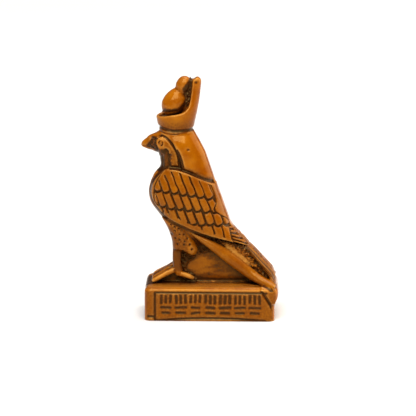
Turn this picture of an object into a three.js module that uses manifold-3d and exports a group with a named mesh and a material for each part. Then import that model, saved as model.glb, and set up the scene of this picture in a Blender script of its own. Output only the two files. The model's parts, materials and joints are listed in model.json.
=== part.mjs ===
import * as THREE from 'three';
import { mergeVertices } from 'three/addons/utils/BufferGeometryUtils.js';
import Module from 'manifold-3d';

// Horus falcon figure, cast in resin as one piece with its crown and its plinth.
// Millimetres, +Z up. The falcon faces -Y and its left side is +X. The origin is the middle of
// the underside. The plinth has sizes of its own, and the falcon is shaped in hundredths of its
// own height: a side view point is [y, z], with z counted up from the top of the plinth.

// Driving dimensions
const falconHeight = 34.4;
const plinthLength = 21.4;
const plinthWidth = 12;
const plinthHeight = 5.6;
const plinthEdgeRadius = 0.9;
const plinthCornerRadius = 1.1;
const panelMargin = 0.85;
const panelGrooveWidth = 0.28;
const strokeWidth = 0.3;
const strokeDepth = 0.22;
const flapThickness = 0.6;
const flapDrop = 3.4;

const wasm = await Module();
wasm.setup();

const share = falconHeight / 100;
const across = new THREE.Vector3(1, 0, 0);
const upright = new THREE.Vector3(0, 0, 1);

// A closed three.js geometry as a solid that can be joined and cut
function solid(geometry) {
  geometry.deleteAttribute('normal');
  geometry.deleteAttribute('uv');
  const merged = mergeVertices(geometry, 1e-5);
  return new wasm.Manifold(new wasm.Mesh({
    numProp: 3,
    vertProperties: new Float32Array(merged.attributes.position.array),
    triVerts: new Uint32Array(merged.index.array),
  }));
}

function join(solids) {
  return solids.reduce((sum, next) => sum.add(next));
}

// A side view point, in shares of the falcon's height, as a place in millimetres
function place(y, z, x = 0) {
  return new THREE.Vector3(x * share, y * share, plinthHeight + z * share);
}

// A smooth function through [position, value] pairs
function smooth(pairs) {
  const sorted = [...pairs].sort((a, b) => a[0] - b[0]);
  const curve = new THREE.CubicInterpolant(
    sorted.map((pair) => pair[0]), sorted.map((pair) => pair[1]), 1, new Float64Array(1));
  return (position) => curve.evaluate(position)[0];
}

// A smooth side view line through a few points
function line(points, steps) {
  return new THREE.SplineCurve(points.map(([y, z]) => new THREE.Vector2(y, z)))
    .getPoints(steps)
    .map((point) => [point.x, point.y]);
}

// A ring of points on a rounded section. The ring lies square to the way that the skin runs.
function ring(centre, along, halfWidth, halfDepth, power, count) {
  const second = new THREE.Vector3().crossVectors(along, across);
  return Array.from({ length: count }, (_, i) => {
    const angle = (2 * Math.PI * i) / count;
    const c = Math.cos(angle);
    const s = Math.sin(angle);
    return centre.clone()
      .addScaledVector(across, halfWidth * Math.sign(c) * Math.abs(c) ** (2 / power))
      .addScaledVector(second, halfDepth * Math.sign(s) * Math.abs(s) ** (2 / power));
  });
}

// A closed skin over a row of rings
function loft(rings) {
  const count = rings[0].length;
  const last = (rings.length - 1) * count;
  const points = rings.flat();
  const index = [];
  for (let r = 0; r < last; r += count) {
    for (let i = 0; i < count; i += 1) {
      const j = (i + 1) % count;
      index.push(r + i, r + j, r + count + j, r + i, r + count + j, r + count + i);
    }
  }
  for (let i = 1; i + 1 < count; i += 1) {
    index.push(0, i + 1, i, last, last + i, last + i + 1);
  }
  const geometry = new THREE.BufferGeometry().setFromPoints(points);
  geometry.setIndex(index);
  return solid(geometry);
}

// A skin over level sections, each [z, front, back, half width, squareness] in shares of the
// falcon's height, where a squareness of 2 is a plain oval
function levels(table, steps, count, x = 0) {
  const [front, back, half, power] = [1, 2, 3, 4].map((column) =>
    smooth(table.map((row) => [row[0], row[column]])));
  const low = table[0][0];
  const high = table[table.length - 1][0];
  return loft(Array.from({ length: steps + 1 }, (_, i) => {
    const z = low + ((high - low) * i) / steps;
    const depth = ((back(z) - front(z)) / 2) * share;
    return ring(place((front(z) + back(z)) / 2, z, x), upright, half(z) * share, depth, power(z), count);
  }));
}

// A skin along a side view line. Each stop is [y, z, half width, half depth, x].
function limb(stops, power, count) {
  const centres = stops.map(([y, z, , , x = 0]) => place(y, z, x));
  return loft(stops.map(([, , width, depth], i) => {
    const before = centres[Math.max(i - 1, 0)];
    const after = centres[Math.min(i + 1, stops.length - 1)];
    const along = new THREE.Vector3().subVectors(after, before).setX(0).normalize();
    return ring(centres[i], along, width * share, depth * share, power, count);
  }));
}

// A side view outline cut out of a plate that reaches from one x to another, in millimetres
function plate(outline, from, to) {
  const shape = new THREE.Shape(outline.map(([y, z]) => new THREE.Vector2(y, z)));
  const geometry = new THREE.ExtrudeGeometry(shape, { depth: to - from, bevelEnabled: false });
  geometry.translate(0, 0, from);
  geometry.applyMatrix4(new THREE.Matrix4().makeBasis(
    new THREE.Vector3(0, 1, 0), new THREE.Vector3(0, 0, 1), across));
  return solid(geometry);
}

// The same for an outline in shares of the falcon's height
function slab(outline, half = 30, from = -half) {
  return plate(
    outline.map(([y, z]) => [y * share, plinthHeight + z * share]), from * share, half * share);
}

// A narrow plate along a side view line, for grooves and ridges
function strip(points, width, half = 30, from = -half) {
  const left = [];
  const right = [];
  points.forEach(([y, z], i) => {
    const [y0, z0] = points[Math.max(i - 1, 0)];
    const [y1, z1] = points[Math.min(i + 1, points.length - 1)];
    const length = Math.hypot(y1 - y0, z1 - z0);
    const ny = (-(z1 - z0) / length) * (width / 2);
    const nz = ((y1 - y0) / length) * (width / 2);
    left.push([y + ny, z + nz]);
    right.unshift([y - ny, z - nz]);
  });
  return slab([...left, ...right], half, from);
}

// Body: one level skin from the belly to the top of the head cloth
const bodySections = [
  [12, -12, -6, 3.6, 2.3], [16, -16.4, 6, 4.6, 2.3], [20, -18, 16.2, 7.6, 2.3],
  [23, -18.8, 14, 8.8, 2.3], [26, -19.9, 11.7, 9.6, 2.3], [30, -22.1, 9.3, 10.9, 2.3],
  [34, -25, 8, 11.8, 2.3], [38, -28, 6.4, 12.2, 2.3], [42, -29.2, 5, 12.3, 2.3],
  [46, -29, 3.6, 12.1, 2.3], [50, -27.8, 2.1, 11.2, 2.3], [54, -25.2, 0.7, 9.4, 2.3],
];
const body = levels(bodySections, 10, 20);

// Throat and face: narrower than the head cloth, from the chest up to the crown
const throatSections = [
  [48, -28.2, -6, 8.6, 2.6], [52, -26.9, -6, 7.6, 2.6], [56, -23.9, -6, 6.6, 2.6],
  [60, -24, -6, 6.4, 2.6], [66, -24.5, -6, 6.9, 2.6], [71, -24.2, -9, 7, 2.6],
  [74.3, -23.8, -10, 6.6, 2.6],
];
const throat = levels(throatSections, 6, 16);

// Head cloth: the smooth outer skin, kept behind the line where the face begins
const clothSections = [
  [46, -29, 3.8, 10.4, 2.3], [52, -27, 1.7, 9.6, 2.3], [58, -25, -0.3, 9.3, 2.3],
  [64, -25, -2.5, 9.1, 2.3], [69, -24.6, -5.1, 8.7, 2.3], [72, -24, -6.8, 8.1, 2.3],
  [74.4, -23.8, -8.2, 7.4, 2.3],
];
const clothEdge = line([
  [-25.5, 72.7], [-22.1, 72.2], [-18.5, 68.5], [-15.7, 63.1], [-13.9, 57.9], [-13, 50],
], 9);
const clothLimits = [...clothEdge, [8, 46], [8, 76], [-25.5, 76]];
const cloth = levels(clothSections, 7, 20).intersect(slab(clothLimits));

// Head and beak: a skin that runs from the tip of the beak back into the face
const headStops = [
  [-32.8, 65.4, 66, 0.4], [-32.2, 64.6, 67.3, 1.1], [-31, 63.9, 68.7, 1.9], [-29.4, 63.2, 69.9, 2.9],
  [-27.6, 62.6, 70.9, 4.3], [-25.6, 61.8, 71.9, 5.8], [-23.6, 60.4, 73.2, 6.8], [-20, 59, 74.2, 7.1],
  [-14, 58, 74.4, 7],
];
const head = limb(
  headStops.map(([y, low, high, width]) => [y, (low + high) / 2, width, (high - low) / 2]), 2.2, 12);

// Eyes: a raised ring around a round pupil on each side of the head
const eyePlace = [-23.1, 68];
const eyeProfile = [[0, -1], [2.3, -1], [2.3, 0.2], [1.8, 0.5], [1.2, 0.1], [0.8, 0.5], [0, 0.6]];
function eye(side) {
  const form = new THREE.LatheGeometry(
    eyeProfile.map(([radius, height]) => new THREE.Vector2(radius * share, height * share)), 10);
  form.rotateZ((-side * Math.PI) / 2);
  const middle = place(...eyePlace, side * 6.6);
  return solid(form.translate(middle.x, middle.y, middle.z));
}

// Crown: a flaring cup whose back rises as a tall spire, with a rounded bulb leaning in it
const crownSections = [
  [72.6, -24, -8.2, 7.5, 2.2], [76, -24.8, -7.5, 8, 2.2], [80, -25.7, -6.6, 8.7, 2.2],
  [84, -26.4, -5.8, 8.3, 2.2], [88, -27, -5.1, 7, 2.2], [93, -27, -4.5, 5.4, 2.2],
  [100, -27, -3.8, 4.4, 2.2],
];
const crownOutline = [
  [-28, 72.6], [-28, 80.2],
  ...line([
    [-25.2, 80.4], [-22.4, 80.7], [-15.4, 81.2], [-11.7, 82.6], [-9.6, 85.6], [-8.8, 91.4], [-8.2, 96.8],
  ], 11),
  ...line([[-7.8, 98.2], [-6, 99.3], [-4.4, 98.4]], 5),
  [-3, 97], [-3, 72.6],
];
const cup = levels(crownSections, 8, 20).intersect(slab(crownOutline));
const crownFill = slab([[-22.5, 79], [-8, 79], [-8, 96.6], [-12.5, 97], [-16, 92], [-22, 85]], 3.4);
const crownBase = levels([[71.6, -24.3, -7.2, 7.9, 2.2], [73.4, -24.3, -7.6, 7.9, 2.2]], 1, 20);

const bulbFoot = [-17.4, 86];
const bulbLean = THREE.MathUtils.degToRad(27);
const bulbProfile = [[0, -6.2], [3.6, -5], [5.5, -1.8], [5.2, 1.6], [4.2, 4.4], [3.3, 6.3], [3.1, 7.9],
  [3.5, 9.8], [3.6, 12.4], [2.4, 14.8], [0, 15.7]];
const bulbForm = new THREE.LatheGeometry(
  bulbProfile.map(([radius, height]) => new THREE.Vector2(radius * share, height * share)), 12);
bulbForm.rotateX(Math.PI / 2 - bulbLean);
const bulbPlace = place(...bulbFoot);
const bulb = solid(bulbForm.translate(bulbPlace.x, bulbPlace.y, bulbPlace.z));

// Wings: a raised slab on each side, with a smooth rim and overlapping rows of feathers
const wingSections = [
  [16, -14, 20.4, 10.2, 3.2], [20, -16, 17.4, 10.9, 3.2], [24, -19, 13.6, 11.5, 3.2],
  [28, -21, 10.5, 12, 2.9], [32, -23.9, 9, 12.5, 2.6], [36, -26.8, 7.5, 12.9, 2.3],
  [40, -28.9, 6.2, 13.2, 2.3], [44, -29, 4.7, 13.1, 2.3], [48, -28.6, 3.3, 12.5, 2.3],
  [52, -27, 1.9, 11.6, 2.3], [56, -25, 0.5, 10.6, 2.3], [60, -24, -0.9, 9.9, 2.3],
];
const wingGroove = 1.1;
const wingSteps = 7;
const wingSides = 16;
const wingSkin = levels(wingSections, wingSteps, wingSides);
const wingFloorSections = wingSections.map(([z, front, back, half, power]) =>
  [z, front, back - wingGroove, half - wingGroove, power]);
const wingFloor = levels(wingFloorSections, wingSteps, wingSides);
const wingTop = [[9, 48.2], [3.3, 50.2], [-5.6, 53.7], [-11.1, 56.2], [-15.2, 57.5], [-19.3, 57.7]];
const wingFront = [[-22.4, 56.2], [-26.4, 51.2], [-27.9, 46.5], [-27.5, 42.2], [-25.2, 37.8], [-20.2, 33]];
const wingFoot = [[-11.7, 28.7], [-1, 24.5], [9, 21.6], [18.9, 18.4]];
const wingEdge = line([...wingTop, ...wingFront, ...wingFoot], 18);
const wingOutline = [...wingEdge, [24, 20]];
const rimWidth = 1.5;
const wingRim = strip(wingEdge, 2 * rimWidth);

// One feather seen from the side: a strip with a round tip that leans forward as it rises
const featherLength = 16;
function feather([tipY, tipZ], lean, width) {
  const up = [-Math.sin(lean), Math.cos(lean)];
  const side = [Math.cos(lean), Math.sin(lean)];
  const radius = width / 2;
  const outline = [];
  for (let i = 0; i <= 3; i += 1) {
    const angle = (Math.PI * i) / 3;
    const out = -radius * Math.cos(angle);
    const rise = radius * (1 - Math.sin(angle));
    outline.push([tipY + out * side[0] + rise * up[0], tipZ + out * side[1] + rise * up[1]]);
  }
  outline.push(
    [tipY + radius * side[0] + featherLength * up[0], tipZ + radius * side[1] + featherLength * up[1]],
    [tipY - radius * side[0] + featherLength * up[0], tipZ - radius * side[1] + featherLength * up[1]]);
  return slab(outline);
}

// Feather rows from the shoulder down: where the tips lie, how far they lean, first tip and count
const featherPitch = 4.2;
const featherGap = 0.95;
const featherRows = [
  { tips: smooth([[-26, 46.2], [-11, 44.4], [4, 41.3], [12, 38]]), lean: 23, first: -24.4, count: 7 },
  { tips: smooth([[-26, 38.8], [-12, 37.3], [8, 35], [12, 34.6]]), lean: 23, first: -25.9, count: 9 },
  { tips: smooth([[-26, 29.5], [-8, 28.7], [2, 28.7], [14, 28.4]]), lean: 21, first: -24, count: 9 },
];
function featherRow({ tips, lean, first, count }, width, drop) {
  return join(Array.from({ length: count }, (_, i) => {
    const y = first + i * featherPitch;
    return feather([y, tips(y) - drop], THREE.MathUtils.degToRad(lean), width);
  }));
}
const featherField = [];
let covered = featherRow(featherRows[0], featherPitch + 0.1, featherGap);
featherField.push(featherRow(featherRows[0], featherPitch - featherGap, 0));
featherRows.slice(1).forEach((row) => {
  featherField.push(featherRow(row, featherPitch - featherGap, 0).subtract(covered));
  covered = covered.add(featherRow(row, featherPitch + 0.1, featherGap));
});

// Last row: nearly upright feathers that end on the wing's rim, then a fan of slanting quills
const lastRowDividers = [-5.9, -1.7, 2.5, 6.8, 11];
const lastRow = join(lastRowDividers.slice(1).map((y, i) => {
  const start = lastRowDividers[i] + featherGap / 2;
  const end = y - featherGap / 2;
  return slab([[start, 16], [end, 16], [end - 1.4, 32], [start - 1.4, 32]]);
})).subtract(covered);
const quillCount = 6;
const quillPitch = 1.55;
const quillDrop = Math.tan(THREE.MathUtils.degToRad(29));
const quills = join(Array.from({ length: quillCount }, (_, i) => {
  const top = 30 - i * quillPitch;
  const low = top - quillPitch * 0.62;
  return slab([[11.2, low], [11.2, top], [22, top - 10.8 * quillDrop], [22, low - 10.8 * quillDrop]]);
}));

// A smooth band down the middle of the back keeps the two wings apart
const spineHalf = 5;
const spine = slab([[-4, 22], [40, 22], [40, 52], [-4, 52]], spineHalf);
const wingPlan = slab(wingOutline);
const wingRaised = join([...featherField, lastRow, quills, wingRim]).intersect(wingPlan).add(spine);
const wing = wingFloor.intersect(wingPlan).add(wingSkin.intersect(wingRaised));

// Tail: an arched blade down the back, scored with long quills
const tailTop = line([
  [10.4, 26.4], [15.6, 21.8], [21, 16.3], [26.5, 10.4], [29.6, 7.2], [31.6, 4.4], [32.5, 1.5], [32.7, -2],
], 7);
const tailThickness = 3.6;
const tail = limb(tailTop.map(([y, z], i) => {
  const [y0, z0] = tailTop[Math.max(i - 1, 0)];
  const [y1, z1] = tailTop[Math.min(i + 1, tailTop.length - 1)];
  const length = Math.hypot(y1 - y0, z1 - z0);
  const half = 8.4 + (1.6 * i) / (tailTop.length - 1);
  const centreY = y + ((z1 - z0) / length) * tailThickness;
  const centreZ = z - ((y1 - y0) / length) * tailThickness;
  return [centreY, centreZ, half, tailThickness];
}), 2.1, 16);
const tailQuills = [-6, -3, 0, 3, 6];
const tailScores = join(tailQuills.map((x) => strip(tailTop.slice(1), 1.5, x + 0.3, x - 0.3)));

// Recess between wing, tail and lower band, and the thin web between the legs and the tail
const recess = slab([
  [-9, 26], [-1, 23.5], [9, 20.6], [18.4, 17.6], [29, 3], [29, -1], [22, 0], [10, 12], [-5, 22],
], 8);
const web = slab([[-15, -2], [-15, 17], [-8, 25], [10, 14], [26, 1.5], [26, -2]], 4.6);

// Lower bands: the folded wing tips, a smooth round bar on each side down to the plinth's end
function lowerBand(side) {
  const stops = [
    [-8.6, 25.8, 1.6, 1.3], [-4.6, 22.7, 2.3, 2.4], [2.6, 18.3, 2.5, 2.9], [9, 13, 2.5, 3],
    [15.4, 7.4, 2.5, 2.9], [20.6, 3.9, 2.5, 2.6], [25.4, 1.4, 2.4, 2.1], [30.8, -1, 2.2, 1.6],
  ];
  return limb(stops.map(([y, z, width, depth]) => [y, z, width, depth, side * 8.4]), 2.2, 9);
}

// Thighs: feathered trousers that end in a hanging lobe behind each leg
const thighSections = [
  [12, -17.4, -7, 3.6, 2.3], [16.4, -17.7, -5.6, 4.4, 2.3], [20, -18, -7, 4.7, 2.3],
  [24, -19, -9, 4.9, 2.3], [28, -20.7, -10, 4.8, 2.3], [32, -23, -11, 4.4, 2.3],
];
const thighLimits = [
  [-26, 34], [-26, 16.2], [-13.1, 16.2],
  ...line([[-12.3, 16], [-9.9, 14.6], [-7.6, 13.6], [-5.6, 14.6]], 6),
  [-5, 34],
];
function thigh(side) {
  return levels(thighSections, 5, 14, side * 4.9).intersect(slab(thighLimits));
}

// Legs and feet: a round shank, three toes forward and one back, on a low swell of resin
const legX = 5.1;
function leg(side) {
  const shank = [
    [-15.3, 2, 2.2, 2.6], [-15.4, 8, 2.1, 2.15], [-15.5, 12, 1.9, 1.95], [-15.4, 18, 2.1, 2.2],
  ];
  return limb(shank.map(([y, z, width, depth]) => [y, z, width, depth, side * legX]), 2.2, 10);
}
const toeSpread = [-2.9, 0, 2.9];
function foot(side) {
  const toes = toeSpread.map((spread) => limb([
    [-27.2, 0.9, 0.8, 0.9, side * (legX + spread)],
    [-22.6, 3.4, 1.2, 1.25, side * (legX + spread * 0.8)],
    [-15.6, 6.6, 1.4, 1.4, side * (legX + spread * 0.2)],
  ], 2, 6));
  const heel = limb([
    [-15.6, 5.4, 1.3, 1.3, side * (legX + 0.5)],
    [-11, 3.9, 1.2, 1.2, side * (legX + 1.3)],
    [-7.6, 2.2, 0.8, 0.8, side * (legX + 1.7)],
  ], 2, 6);
  return join([...toes, heel]);
}
const footSwell = slab([
  [-27.6, -1], [-27.6, 1.3], [-21.5, 5.5], [-17.9, 8.3], [-13.4, 5.6], [-7.6, 1.7], [-6.6, -1],
], 6.6);

// Plinth: a block with rounded top edges and upright corners
const plinthMiddle = 0.09;
const plinthBack = plinthMiddle + plinthLength / 2;
const plinthFront = plinthMiddle - plinthLength / 2;
const cornerSteps = 2;
const edgeSteps = 3;
function block(halfWidth, front, back, height, corner, edge) {
  const level = (z, inset) => {
    const radius = corner - inset / 2;
    const points = [];
    for (let i = 0; i < 4 * (cornerSteps + 1); i += 1) {
      const quarter = Math.floor(i / (cornerSteps + 1));
      const angle = (Math.PI / 2) * (quarter + (i % (cornerSteps + 1)) / cornerSteps);
      const sideX = quarter === 0 || quarter === 3 ? 1 : -1;
      const endY = quarter < 2 ? back - inset - radius : front + inset + radius;
      const endX = sideX * (halfWidth - inset - radius);
      points.push(new THREE.Vector3(endX + radius * Math.cos(angle), endY + radius * Math.sin(angle), z));
    }
    return points;
  };
  const rings = [level(0, 0)];
  for (let i = 0; i <= edgeSteps; i += 1) {
    const angle = (Math.PI / 2) * (i / edgeSteps);
    rings.push(level(height - edge * (1 - Math.sin(angle)), edge * (1 - Math.cos(angle))));
  }
  return loft(rings);
}

// Sunk lines: a frame open at the tail end on both long sides, and groups of plain short strokes
// on the falcon's left
const panelTop = plinthHeight - panelMargin;
const panelLow = 0.42;
const panelSag = 0.4;
const panelStart = plinthFront + 1.75;
const panelEnd = plinthBack - 1.6;
const archStart = panelStart + 5.9;
const archEnd = panelEnd - 5.5;
function bar([y0, z0], [y1, z1], width) {
  const length = Math.hypot(y1 - y0, z1 - z0);
  const ny = (-(z1 - z0) / length) * (width / 2);
  const nz = ((y1 - y0) / length) * (width / 2);
  return [[y0 + ny, z0 + nz], [y1 + ny, z1 + nz], [y1 - ny, z1 - nz], [y0 - ny, z0 - nz]];
}
const panelLines = [
  [[panelStart - panelGrooveWidth / 2, panelTop], [panelEnd, panelTop]],
  [[panelStart, panelTop], [panelStart, -1]],
  [[panelStart, panelLow - panelSag], [archStart, panelLow]],
  [[archStart, panelLow], [archEnd, panelLow]],
  [[archEnd, panelLow], [panelEnd, panelLow - panelSag]],
].map(([start, end]) => bar(start, end, panelGrooveWidth));
const strokeGroups = 7;
const strokePitch = (panelEnd - panelStart - 1) / strokeGroups;
const strokeReach = 0.55;
const strokeLean = 0.25;
const upperStroke = 1.05;
const strokeRows = [2.3, 3.15].map((fall) => panelTop - fall);
const strokes = [];
for (let i = 0; i < strokeGroups; i += 1) {
  const y = panelStart + 0.6 + (i + 0.5) * strokePitch;
  const lean = i % 2 === 0 ? strokeLean : -strokeLean;
  [y - strokeReach, y + 0.3].forEach((start) => {
    const top = panelTop - 0.55;
    strokes.push(bar([start, top], [start + lean, top - upperStroke], strokeWidth));
  });
  strokeRows.forEach((z) => {
    strokes.push(bar([y - strokeReach, z - lean], [y + strokeReach, z + lean], strokeWidth));
  });
}
const faceX = plinthWidth / 2;
const sunk = join([
  ...[...panelLines, ...strokes].map((outline) => plate(outline, faceX - strokeDepth, faceX + 1)),
  ...panelLines.map((outline) => plate(outline, -faceX - 1, strokeDepth - faceX)),
]);
const plinth = block(
  faceX, plinthFront, plinthBack, plinthHeight, plinthCornerRadius, plinthEdgeRadius,
).subtract(sunk);

// Flap: the tail's end, which hangs over the back edge of the plinth as a blunt tongue
const flapStart = plinthBack - 2.2;
const flapProud = 0.2;
const flap = plate([
  [flapStart, plinthHeight + 1], [flapStart, plinthHeight - 0.3], [flapStart + 0.7, plinthHeight - 1.2],
  [plinthBack - 0.45, plinthHeight - flapDrop], [plinthBack + 0.1, plinthHeight - flapDrop],
  [plinthBack + flapThickness, plinthHeight - 1.6], [plinthBack + flapThickness, plinthHeight + 1],
], -plinthWidth, plinthWidth).intersect(block(
  faceX + flapProud, plinthFront, plinthBack + flapThickness, plinthHeight + flapProud,
  plinthCornerRadius + flapThickness, plinthEdgeRadius,
));

const falcon = join([
  body, throat, cloth, head, crownBase, cup, crownFill, bulb,
  wing, tail.subtract(tailScores), recess, web, footSwell,
  ...[1, -1].flatMap((side) => [eye(side), lowerBand(side), thigh(side), leg(side), foot(side)]),
]);
const figure = falcon.add(plinth).add(flap);

// The finished solid as a three.js geometry, centred on its length
function geometryOf(manifold) {
  const mesh = manifold.getMesh();
  const geometry = new THREE.BufferGeometry();
  geometry.setAttribute('position', new THREE.BufferAttribute(mesh.vertProperties, 3));
  geometry.setIndex(new THREE.BufferAttribute(mesh.triVerts, 1));
  geometry.computeBoundingBox();
  const { min, max } = geometry.boundingBox;
  geometry.translate(0, -(min.y + max.y) / 2, 0);
  geometry.computeVertexNormals();
  return geometry;
}

const amberResin = new THREE.MeshStandardMaterial({ color: 0xa45c0c, roughness: 0.28, metalness: 0 });
const falconFigure = new THREE.Mesh(geometryOf(figure), amberResin);
falconFigure.name = 'falcon_figure';

const model = new THREE.Group();
model.add(falconFigure);
export default model;
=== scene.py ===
import json
import math
import random

import bpy
import numpy as np
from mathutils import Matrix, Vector, noise
from mathutils.bvhtree import BVHTree

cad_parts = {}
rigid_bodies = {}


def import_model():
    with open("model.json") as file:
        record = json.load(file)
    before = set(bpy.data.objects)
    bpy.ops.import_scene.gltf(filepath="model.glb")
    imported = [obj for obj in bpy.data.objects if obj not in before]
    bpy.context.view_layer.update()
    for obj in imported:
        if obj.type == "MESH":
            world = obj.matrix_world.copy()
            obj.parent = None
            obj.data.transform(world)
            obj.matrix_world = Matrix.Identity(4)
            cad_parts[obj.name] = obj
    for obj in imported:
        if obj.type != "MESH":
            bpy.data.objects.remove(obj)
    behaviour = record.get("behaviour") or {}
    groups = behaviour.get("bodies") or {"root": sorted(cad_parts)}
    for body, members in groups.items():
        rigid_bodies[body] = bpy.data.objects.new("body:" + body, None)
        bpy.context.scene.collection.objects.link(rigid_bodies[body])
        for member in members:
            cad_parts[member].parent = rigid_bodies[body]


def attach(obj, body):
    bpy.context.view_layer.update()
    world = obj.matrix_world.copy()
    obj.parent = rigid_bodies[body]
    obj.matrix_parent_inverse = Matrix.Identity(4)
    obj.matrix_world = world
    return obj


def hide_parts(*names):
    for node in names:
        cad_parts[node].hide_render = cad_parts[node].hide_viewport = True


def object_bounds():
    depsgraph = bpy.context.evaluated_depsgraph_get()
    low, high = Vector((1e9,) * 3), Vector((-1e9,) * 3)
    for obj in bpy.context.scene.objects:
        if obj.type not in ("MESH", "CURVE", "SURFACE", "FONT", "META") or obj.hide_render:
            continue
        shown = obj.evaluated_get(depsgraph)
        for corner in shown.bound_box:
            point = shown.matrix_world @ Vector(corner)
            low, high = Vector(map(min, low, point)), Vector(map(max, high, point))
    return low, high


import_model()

cad_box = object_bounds()
bpy.ops.object.select_all(action='DESELECT')

# Body of the falcon: breast, belly and back. The whole figure is one casting in amber resin, whose
# forms are discs drawn up ring by ring, then joined and carved. Sizes are in millimetres, and tables
# in hundredths of the falcon's height: [z above the plinth, front, back, half width, squareness].
falcon_height = 34.4
plinth_height = 5.6
share = falcon_height / 100
casting = []


def place(y, z, x=0.0):
    """A side view point, in hundredths of the falcon's height, as a place in millimetres."""
    return np.array([x * share, y * share, plinth_height + z * share])


def smooth(pairs):
    """A smooth function through (position, value) pairs."""
    at, value = (np.array(column, float) for column in zip(*sorted(pairs)))
    slope = np.gradient(value, at)

    def curve(position):
        position = np.clip(position, at[0], at[-1])
        i = np.clip(np.searchsorted(at, position) - 1, 0, len(at) - 2)
        span = at[i + 1] - at[i]
        t = (position - at[i]) / span
        rise = t * t * (3 - 2 * t)
        bend = span * (t * (1 - t) ** 2 * slope[i] + t * t * (t - 1) * slope[i + 1])
        return value[i] + rise * (value[i + 1] - value[i]) + bend
    return curve


def line(points, steps):
    """A smooth line through a few points."""
    along = np.linspace(0, len(points) - 1, steps + 1)
    return np.stack([smooth(enumerate(column))(along) for column in zip(*points)], 1)


def ring(centre, along, half_width, half_depth, squareness, sides):
    """Points round a section that lies square to the way the skin runs."""
    angle = np.arange(sides) * 2 * math.pi / sides
    c, s = np.cos(angle), np.sin(angle)
    across = np.sign(c) * np.abs(c) ** (2 / squareness) * half_width
    up = np.sign(s) * np.abs(s) ** (2 / squareness) * half_depth
    second = np.cross(along, (1, 0, 0))
    return centre + across[:, None] * np.array([1.0, 0, 0]) + up[:, None] * second


def read(mesh, what):
    """Positions or normals of a mesh's points."""
    flat = np.empty(len(mesh.vertices) * 3)
    mesh.vertices.foreach_get(what, flat)
    return flat.reshape(-1, 3)


def put(mesh, spots):
    """Moves a mesh's points."""
    mesh.vertices.foreach_set("co", spots.ravel())
    mesh.update()


def skin(name, rings):
    """A disc drawn up once for every ring, whose rings are then set to their sections."""
    rings = np.array(rings)
    sides = rings.shape[1]
    bpy.ops.mesh.primitive_circle_add(vertices=sides, radius=1, fill_type='NGON')
    piece = bpy.context.object
    piece.name = name
    bpy.ops.object.mode_set(mode='EDIT')
    for _ in rings[1:]:
        bpy.ops.mesh.extrude_region_move(TRANSFORM_OT_translate={"value": (0, 0, 1)})
    bpy.ops.object.mode_set(mode='OBJECT')
    drawn = read(piece.data, "co")
    turn = np.round(np.arctan2(drawn[:, 1], drawn[:, 0]) / (2 * math.pi) * sides * 2) % (2 * sides)
    order = np.lexsort((turn, np.round(drawn[:, 2])))
    drawn[order] = rings.reshape(-1, 3)
    put(piece.data, drawn)
    bpy.ops.object.mode_set(mode='EDIT')
    bpy.ops.mesh.select_all(action='SELECT')
    bpy.ops.mesh.normals_make_consistent(inside=False)
    bpy.ops.object.mode_set(mode='OBJECT')
    return piece


def levels(name, table, steps=34, x=0.0):
    """A skin over level sections."""
    sides = 56
    front, back, half, squareness = (
        smooth([(row[0], row[column]) for row in table]) for column in (1, 2, 3, 4))
    return skin(name, [
        ring(place((front(z) + back(z)) / 2, z, x), (0, 0, 1), half(z) * share,
             (back(z) - front(z)) / 2 * share, squareness(z), sides)
        for z in np.linspace(table[0][0], table[-1][0], steps + 1)])


body_sections = [
    (12, -12, -8, 2.6, 2.3), (16, -16.4, -4, 3, 2.3), (20, -18, 8, 5.4, 2.3),
    (23, -18.8, 14, 8.2, 2.3), (26, -19.9, 11.7, 9.6, 2.3), (30, -22.1, 9.3, 10.9, 2.3),
    (34, -25, 8, 11.8, 2.3), (38, -28, 6.4, 12.2, 2.3), (42, -29.2, 5, 12.3, 2.3),
    (46, -29, 3.6, 12.1, 2.3), (50, -27.8, 2.1, 11.2, 2.3), (54, -25.2, 0.7, 9.4, 2.3),
]
casting.append(levels("body", body_sections))

# Throat and head: a narrow neck below the hood, and a head that runs out into a short hooked
# beak. The beak is a skin along its middle line: [y, low, high, half width].
throat_sections = [
    (48, -28.2, -6, 8.6, 2.6), (52, -26.9, -6, 7.6, 2.6), (56, -23.9, -6, 6.6, 2.6),
    (60, -24, -6, 6.4, 2.6), (66, -24.5, -6, 6.9, 2.6), (71, -24.2, -9, 7, 2.6),
    (74.3, -23.8, -10, 6.6, 2.6),
]
casting.append(levels("throat", throat_sections, steps=24))
head_stops = [
    (-32.8, 65.5, 66.2, 0.4), (-32.2, 64.8, 67.4, 1.1), (-31, 64.4, 68.7, 1.9),
    (-29.4, 63.8, 69.9, 2.9), (-27.6, 63.3, 71.3, 4.3), (-25.6, 62.7, 72.2, 5.8),
    (-23.6, 61.8, 73.2, 6.8), (-20, 59, 74.2, 7.1), (-14, 58, 74.4, 7),
]


def limb(name, stops, squareness=2.0, steps=30, sides=28, blunt=False):
    """A skin along a side view line of [y, z, half width, half depth, x]. Blunt ends are round."""
    along = (1 - np.cos(np.linspace(0, math.pi, steps + 1))) / 2 * (len(stops) - 1)
    y, z, width, depth, x = (smooth(enumerate(column))(along) for column in zip(*stops))
    run = np.hypot(np.gradient(y), np.gradient(z))
    if blunt:
        gone = np.cumsum(run) - run[0]
        left = gone[-1] - gone
        for from_end in (gone, left):
            near = np.clip(from_end / depth.mean(), 0, 1)
            round_off = np.sqrt(1 - (1 - near) ** 2) * 0.97 + 0.03
            width, depth = width * round_off, depth * round_off
    heading = np.stack([0 * y, np.gradient(y) / run, np.gradient(z) / run], 1)
    return skin(name, [
        ring(place(y[i], z[i], x[i]), heading[i], width[i] * share, depth[i] * share, squareness, sides)
        for i in range(len(y))])


casting.append(limb("head", [
    (y, (low + high) / 2, half, (high - low) / 2, 0) for y, low, high, half in head_stops],
    squareness=2.2, steps=36, sides=44))

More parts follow.
